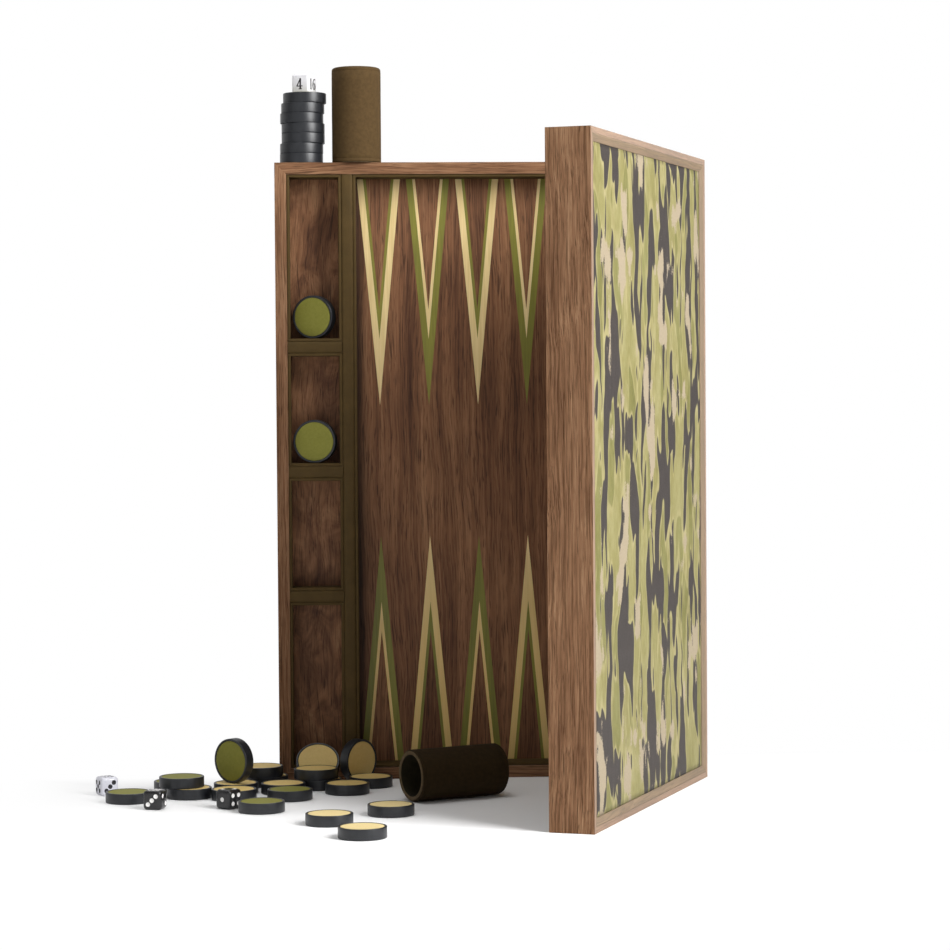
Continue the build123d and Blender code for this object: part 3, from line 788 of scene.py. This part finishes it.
# ================================================================ dice
PIPS = {
    1: ((0, 0),), 2: ((-1, 1), (1, -1)), 3: ((-1, -1), (0, 0), (1, 1)),
    4: ((-1, -1), (-1, 1), (1, -1), (1, 1)), 5: ((-1, -1), (-1, 1), (0, 0), (1, -1), (1, 1)),
    6: ((-1, -1), (0, -1), (1, -1), (-1, 1), (0, 1), (1, 1)),
}
# outward direction and the face's own right and up, seen from outside
FACES = {
    "front": ((0, -1, 0), (1, 0, 0), (0, 0, 1)), "back": ((0, 1, 0), (-1, 0, 0), (0, 0, 1)),
    "right": ((1, 0, 0), (0, 1, 0), (0, 0, 1)), "left": ((-1, 0, 0), (0, -1, 0), (0, 0, 1)),
    "top": ((0, 0, 1), (1, 0, 0), (0, 1, 0)), "bottom": ((0, 0, -1), (1, 0, 0), (0, -1, 0)),
}


def rounded_cube(name, size, radius, mat):
    bm = bmesh.new()
    bmesh.ops.create_cube(bm, size=size)
    bmesh.ops.bevel(bm, geom=bm.edges[:], offset=radius, segments=5, affect="EDGES", profile=0.5)
    return finish_mesh(name, bm, [mat])


def cut(obj, cutters):
    """Boolean difference, applied; the cut faces take the cutter's material."""
    for cutter in cutters:
        mod = obj.modifiers.new("cut", "BOOLEAN")
        mod.operation = "DIFFERENCE"
        mod.object = cutter
        mod.solver = "EXACT"
        mod.use_self = True
        mod.material_mode = "TRANSFER"
    graph = bpy.context.evaluated_depsgraph_get()
    mesh = bpy.data.meshes.new_from_object(obj.evaluated_get(graph), depsgraph=graph)
    obj.modifiers.clear()
    obj.data = mesh
    for cutter in cutters:
        bpy.data.objects.remove(cutter)


def pip_cutter(bm, centre, axes, radius, segments=32):
    """Plug with a dished end that sinks a shallow round pip into a face."""
    right, up, out = axes
    profile = [(radius * k / 5, -0.32 * MM * (1 - (k / 5) ** 2)) for k in range(6)] + [(radius, 0.8 * MM)]
    rings = []
    for r, height in profile[1:]:
        rings.append([bm.verts.new(centre + out * height + (right * math.cos(a) + up * math.sin(a)) * r)
                      for a in (2 * math.pi * i / segments for i in range(segments))])
    foot = bm.verts.new(centre + out * profile[0][1])
    cap = bm.verts.new(centre + out * profile[-1][1])
    for i in range(segments):
        j = (i + 1) % segments
        bm.faces.new((foot, rings[0][i], rings[0][j]))
        bm.faces.new((cap, rings[-1][j], rings[-1][i]))
        for low, high in zip(rings, rings[1:]):
            bm.faces.new((low[i], high[i], high[j], low[j]))


def make_die(name, size, faces, ink, base, pip_r, turn):
    obj = rounded_cube(name + "_body", size, 2.8 * MM, base)
    step = 3.3 * MM
    bm = bmesh.new()
    for side, number in faces.items():
        out, right, up = (Vector(v) for v in FACES[side])
        for u, v in PIPS[number]:
            radius = pip_r if number < 6 else 0.46 * step
            pip_cutter(bm, out * size / 2 + right * u * step + up * v * step, (right, up, out), radius)
    cutter = finish_mesh(name + "_cutter", bm, [ink])
    cut(obj, [cutter])
    low, high = (Vector(c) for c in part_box(name))
    obj.data.transform(Matrix.Translation((low + high) / 2) @ Matrix.Rotation(math.radians(turn), 4, "Z"))
    obj.name = name + "_body"
    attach(obj, name)
    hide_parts(name)
    return obj


THREE_FRONT = {"front": 3, "right": 2, "back": 4, "left": 5, "top": 6, "bottom": 1}
FOUR_FRONT = {"front": 4, "left": 1, "back": 3, "right": 6, "top": 2, "bottom": 5}
make_die("white_die_1", DIE, THREE_FRONT, MAT["pip_black"], MAT["white"], 1.95 * MM, 25)
make_die("white_die_2", DIE, FOUR_FRONT, MAT["pip_black"], MAT["white"], 1.95 * MM, OPEN_ANGLE)
make_die("black_die_1", DIE, THREE_FRONT, MAT["pip_white"], MAT["black"], 1.85 * MM, -16)
make_die("black_die_2", DIE, FOUR_FRONT, MAT["pip_white"], MAT["black"], 1.85 * MM, 49.6)


# numeral strokes: points (x, y, pen width) in a box about 0.62 wide and 1 tall
GLYPHS = {
    "1": [[(0.14, 0.80, 0.03), (0.22, 0.87, 0.05), (0.31, 0.97, 0.05)],
          [(0.31, 0.0, 0.15), (0.31, 0.5, 0.15), (0.31, 1.0, 0.15)],
          [(0.12, 0.025, 0.05), (0.31, 0.025, 0.05), (0.50, 0.025, 0.05)]],
    "2": [[(0.10, 0.74, 0.13), (0.13, 0.80, 0.07), (0.20, 0.93, 0.06), (0.33, 0.97, 0.07), (0.48, 0.88, 0.13),
           (0.50, 0.70, 0.15), (0.38, 0.48, 0.10), (0.20, 0.24, 0.05), (0.09, 0.08, 0.05)],
          [(0.07, 0.06, 0.12), (0.30, 0.06, 0.13), (0.52, 0.06, 0.11)],
          [(0.53, 0.06, 0.05), (0.56, 0.14, 0.04), (0.57, 0.24, 0.03)]],
    "3": [[(0.12, 0.78, 0.12), (0.15, 0.88, 0.06), (0.29, 0.97, 0.06), (0.46, 0.88, 0.13), (0.47, 0.70, 0.13),
           (0.36, 0.56, 0.06), (0.24, 0.53, 0.05)],
          [(0.30, 0.54, 0.05), (0.46, 0.46, 0.10), (0.53, 0.28, 0.15), (0.44, 0.09, 0.10), (0.26, 0.03, 0.06),
           (0.12, 0.10, 0.07), (0.09, 0.20, 0.12)]],
    "4": [[(0.37, 0.0, 0.11), (0.37, 0.5, 0.11), (0.37, 1.0, 0.11)],
          [(0.39, 0.98, 0.07), (0.21, 0.64, 0.07), (0.02, 0.28, 0.07)],
          [(0.0, 0.28, 0.06), (0.28, 0.28, 0.06), (0.60, 0.28, 0.06)],
          [(0.20, 0.025, 0.05), (0.37, 0.025, 0.05), (0.54, 0.025, 0.05)]],
    "6": [[(0.52, 0.88, 0.11), (0.44, 0.96, 0.06), (0.32, 0.95, 0.06), (0.17, 0.80, 0.10), (0.09, 0.52, 0.14),
           (0.10, 0.26, 0.14), (0.20, 0.07, 0.08), (0.32, 0.03, 0.06), (0.46, 0.11, 0.10), (0.51, 0.29, 0.14),
           (0.45, 0.49, 0.10), (0.33, 0.56, 0.06), (0.20, 0.50, 0.05), (0.13, 0.40, 0.05)]],
    "8": [[(0.31, 0.53, 0.05), (0.15, 0.64, 0.12), (0.12, 0.80, 0.13), (0.20, 0.93, 0.07), (0.32, 0.97, 0.05),
           (0.46, 0.89, 0.10), (0.48, 0.74, 0.10), (0.40, 0.60, 0.06), (0.28, 0.52, 0.10), (0.13, 0.40, 0.10),
           (0.08, 0.24, 0.12), (0.16, 0.08, 0.08), (0.31, 0.03, 0.05), (0.48, 0.11, 0.12), (0.53, 0.27, 0.14),
           (0.44, 0.43, 0.12), (0.31, 0.53, 0.06)]],
}
GLYPH_WIDTH = 0.68
PEN = 1.5


def smooth_stroke(points, steps=6):
    """Catmull-Rom through pen points (x, y, width)."""
    ends = [points[0]] + list(points) + [points[-1]]
    result = []
    for p0, p1, p2, p3 in zip(ends, ends[1:], ends[2:], ends[3:]):
        for i in range(steps):
            t = i / steps
            result.append([0.5 * (2 * b + (c - a) * t + (2 * a - 5 * b + 4 * c - d) * t * t
                                  + (3 * b - a - 3 * c + d) * t ** 3) for a, b, c, d in zip(p0, p1, p2, p3)])
    result.append(list(points[-1]))
    return result


def numeral(name, text, size, place, thick):
    """Raised numeral drawn with a broad pen, standing on the plane z = 0 of place."""
    bm = bmesh.new()
    advance = GLYPH_WIDTH if len(text) == 1 else 0.92 * GLYPH_WIDTH
    total = advance * len(text)
    for index, char in enumerate(text):
        for stroke in GLYPHS[char]:
            line = smooth_stroke(stroke)
            sides = []
            for i, (x, y, w) in enumerate(line):
                ax, ay, _ = line[max(i - 1, 0)]
                bx, by, _ = line[min(i + 1, len(line) - 1)]
                run = Vector((bx - ax, by - ay))
                run = run.normalized() if run.length > 1e-6 else Vector((1, 0))
                nx, ny = -run.y * w * PEN / 2, run.x * w * PEN / 2
                ox, oy = x + advance * index - total / 2, y - 0.5
                sides.append([((ox + s * nx) * size, (oy + s * ny) * size) for s in (1, -1)])
            top = [[bm.verts.new((px, py, thick)) for px, py in pair] for pair in sides]
            low = [[bm.verts.new((px, py, -thick)) for px, py in pair] for pair in sides]
            for i in range(len(sides) - 1):
                bm.faces.new((top[i][0], top[i][1], top[i + 1][1], top[i + 1][0]))
                bm.faces.new((low[i][0], low[i + 1][0], low[i + 1][1], low[i][1]))
                for s in (0, 1):
                    bm.faces.new((top[i][s], top[i + 1][s], low[i + 1][s], low[i][s]))
            for i in (0, len(sides) - 1):
                bm.faces.new((top[i][0], low[i][0], low[i][1], top[i][1]))
    obj = finish_mesh(name, bm, [MAT["ink"]], smooth=False)
    obj.data.transform(place)
    return obj


def make_doubling_cube():
    name = "doubling_cube"
    size = 16 * MM
    obj = rounded_cube(name + "_body", size, 1.7 * MM, MAT["ivory"])
    low, high = (Vector(c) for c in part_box(name))
    place = Matrix.Translation((low + high) / 2) @ Matrix.Rotation(math.radians(-26), 4, "Z")
    obj.data.transform(place)
    pieces = [obj]
    numbers = {"front": ("4", 0), "right": ("16", 0), "back": ("8", 0), "left": ("32", 0),
               "top": ("64", 0), "bottom": ("2", 0)}
    for side, (text, turn) in numbers.items():
        out, right, up = (Vector(v) for v in FACES[side])
        basis = Matrix((right, up, out)).transposed().to_4x4()
        spin = Matrix.Rotation(math.radians(turn), 4, "Z")
        on_face = place @ Matrix.Translation(out * (size / 2 - 0.005 * MM)) @ basis @ spin
        pieces.append(numeral("doubling_cube_number_" + text, text, 9.4 * MM, on_face, 0.04 * MM))
    for piece in pieces:
        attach(piece, name)
    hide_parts(name)


make_doubling_cube()


# ================================================================ room
def area(name, loc, target, size, power, colour=(1, 1, 1)):
    light = bpy.data.lights.new(name, "AREA")
    light.shape = "RECTANGLE"
    light.size, light.size_y = size
    light.energy = power
    light.color = colour
    obj = bpy.data.objects.new(name, light)
    obj.location = loc
    obj.rotation_mode = "QUATERNION"
    obj.rotation_quaternion = (Vector(target) - Vector(loc)).to_track_quat("-Z", "Y")
    bpy.context.scene.collection.objects.link(obj)
    return obj


def make_floor():
    """Pale sweep: plain in front of the set, fading to a white glow to the camera far away so that no horizon
    shows; behind and just left of the set the glow is painted light over the case's cast shadow.
    """
    bm = bmesh.new()
    bmesh.ops.create_grid(bm, x_segments=1, y_segments=1, size=14.0)
    g = Graph("studio_floor")
    g.set("Base Color", (0.93, 0.93, 0.93, 1))
    g.set("Roughness", 0.8)
    g.set("Specular IOR Level", 0.05)
    x, y, _ = g.split(g.coords())
    sides = g.math("MAXIMUM", g.grey(g.math("MULTIPLY", x, -1), 0.22, 0.40), g.grey(x, 0.24, 0.5))
    # painted light: just left of and behind the case the floor glows white to the camera over the case's cast
    # shadow
    beside = g.math("MULTIPLY", g.grey(g.math("MULTIPLY", x, -1), 0.17, 0.21), g.grey(y, -0.09, 0.02))
    depth = g.math("MAXIMUM", g.grey(y, 0.0, 0.12), g.grey(g.math("MULTIPLY", y, -1), 0.42, 0.8))
    depth = g.math("MAXIMUM", depth, beside)
    far = g.math("MAXIMUM", sides, depth)
    seen = g.node("LightPath", out="Is Camera Ray")
    white = g.node("Emission", {"Color": (1, 1, 1, 1), "Strength": 1.0})
    blend = g.node("MixShader", {0: g.math("MULTIPLY", far, seen), 1: g.bsdf.outputs[0], 2: white})
    g.put(g.out.inputs[0], blend)
    floor = finish_mesh("floor", bm, [g.mat], smooth=False)
    floor.location = (0, 0, min(0.0, cad_low.z) - 0.0002)


def make_world():
    """White surroundings for the camera and for reflections, dim for diffuse light."""
    world = bpy.data.worlds.new("studio")
    world.use_nodes = True
    tree = world.node_tree
    path = tree.nodes.new("ShaderNodeLightPath")
    coords = tree.nodes.new("ShaderNodeTexCoord")
    axes = tree.nodes.new("ShaderNodeSeparateXYZ")
    tree.links.new(coords.outputs["Generated"], axes.inputs[0])
    mirror = tree.nodes.new("ShaderNodeMapRange")
    mirror.inputs["From Min"].default_value = -0.3
    mirror.inputs["From Max"].default_value = 0.3
    mirror.inputs["To Min"].default_value = FRONT_GLOSS
    mirror.inputs["To Max"].default_value = 1.0
    tree.links.new(axes.outputs["Y"], mirror.inputs["Value"])
    ceiling = tree.nodes.new("ShaderNodeMapRange")
    ceiling.inputs["From Min"].default_value = 0.15
    ceiling.inputs["From Max"].default_value = 0.6
    ceiling.inputs["To Min"].default_value = 1.0
    ceiling.inputs["To Max"].default_value = 0.35
    tree.links.new(axes.outputs["Z"], ceiling.inputs["Value"])
    glossy = tree.nodes.new("ShaderNodeMath")
    glossy.operation = "MULTIPLY"
    tree.links.new(mirror.outputs[0], glossy.inputs[0])
    tree.links.new(ceiling.outputs[0], glossy.inputs[1])
    level = tree.nodes.new("ShaderNodeMix")
    tree.links.new(path.outputs["Is Diffuse Ray"], level.inputs["Factor"])
    tree.links.new(glossy.outputs[0], level.inputs["A"])
    level.inputs["B"].default_value = AMBIENT
    shown = tree.nodes.new("ShaderNodeMix")
    tree.links.new(path.outputs["Is Camera Ray"], shown.inputs["Factor"])
    tree.links.new(level.outputs["Result"], shown.inputs["A"])
    shown.inputs["B"].default_value = 1.0
    back = tree.nodes["Background"]
    back.inputs[0].default_value = (1, 1, 1, 1)
    tree.links.new(shown.outputs["Result"], back.inputs[1])
    bpy.context.scene.world = world


AMBIENT = 0.2
FRONT_GLOSS = 0.35


def make_room():
    scene = bpy.context.scene
    make_floor()
    make_world()
    area("key_right", (1.2, -1.15, 1.2), (0.0, -0.1, 0.4), (0.95, 1.5), 66)
    area("front_left", (-1.3, -2.3, 0.75), (-0.1, -0.1, 0.25), (3.0, 2.2), 9.5)
    area("top_front", (-0.3, -0.4, 2.3), (-0.1, -0.2, 0.0), (1.2, 0.9), 10)
    area("top_back", (-0.4, 0.9, 1.9), (-0.1, -0.1, 0.2), (1.4, 0.9), 8)
    scene.view_settings.view_transform = "Standard"
    scene.view_settings.look = "None"


def make_camera():
    """Camera low in front of the case, a little left of its middle."""
    yaw, pitch, roll = (math.radians(a) for a in (2.98, -1.6, -0.4))
    forward = Vector((math.sin(yaw) * math.cos(pitch), math.cos(yaw) * math.cos(pitch), math.sin(pitch)))
    right = Vector((math.cos(yaw), -math.sin(yaw), 0))
    up = right.cross(forward)
    right, up = (math.cos(roll) * right + math.sin(roll) * up, -math.sin(roll) * right + math.cos(roll) * up)
    data = bpy.data.cameras.new("camera")
    data.sensor_width = 36
    data.lens = 106.37
    data.clip_start, data.clip_end = 0.05, 50
    camera = bpy.data.objects.new("camera", data)
    camera.matrix_world = Matrix((right, up, -forward)).transposed().to_4x4()
    camera.location = HINGE + Vector((-0.2905, -2.4117, 0.3288))
    bpy.context.scene.collection.objects.link(camera)
    bpy.context.scene.camera = camera


make_room()
make_camera()
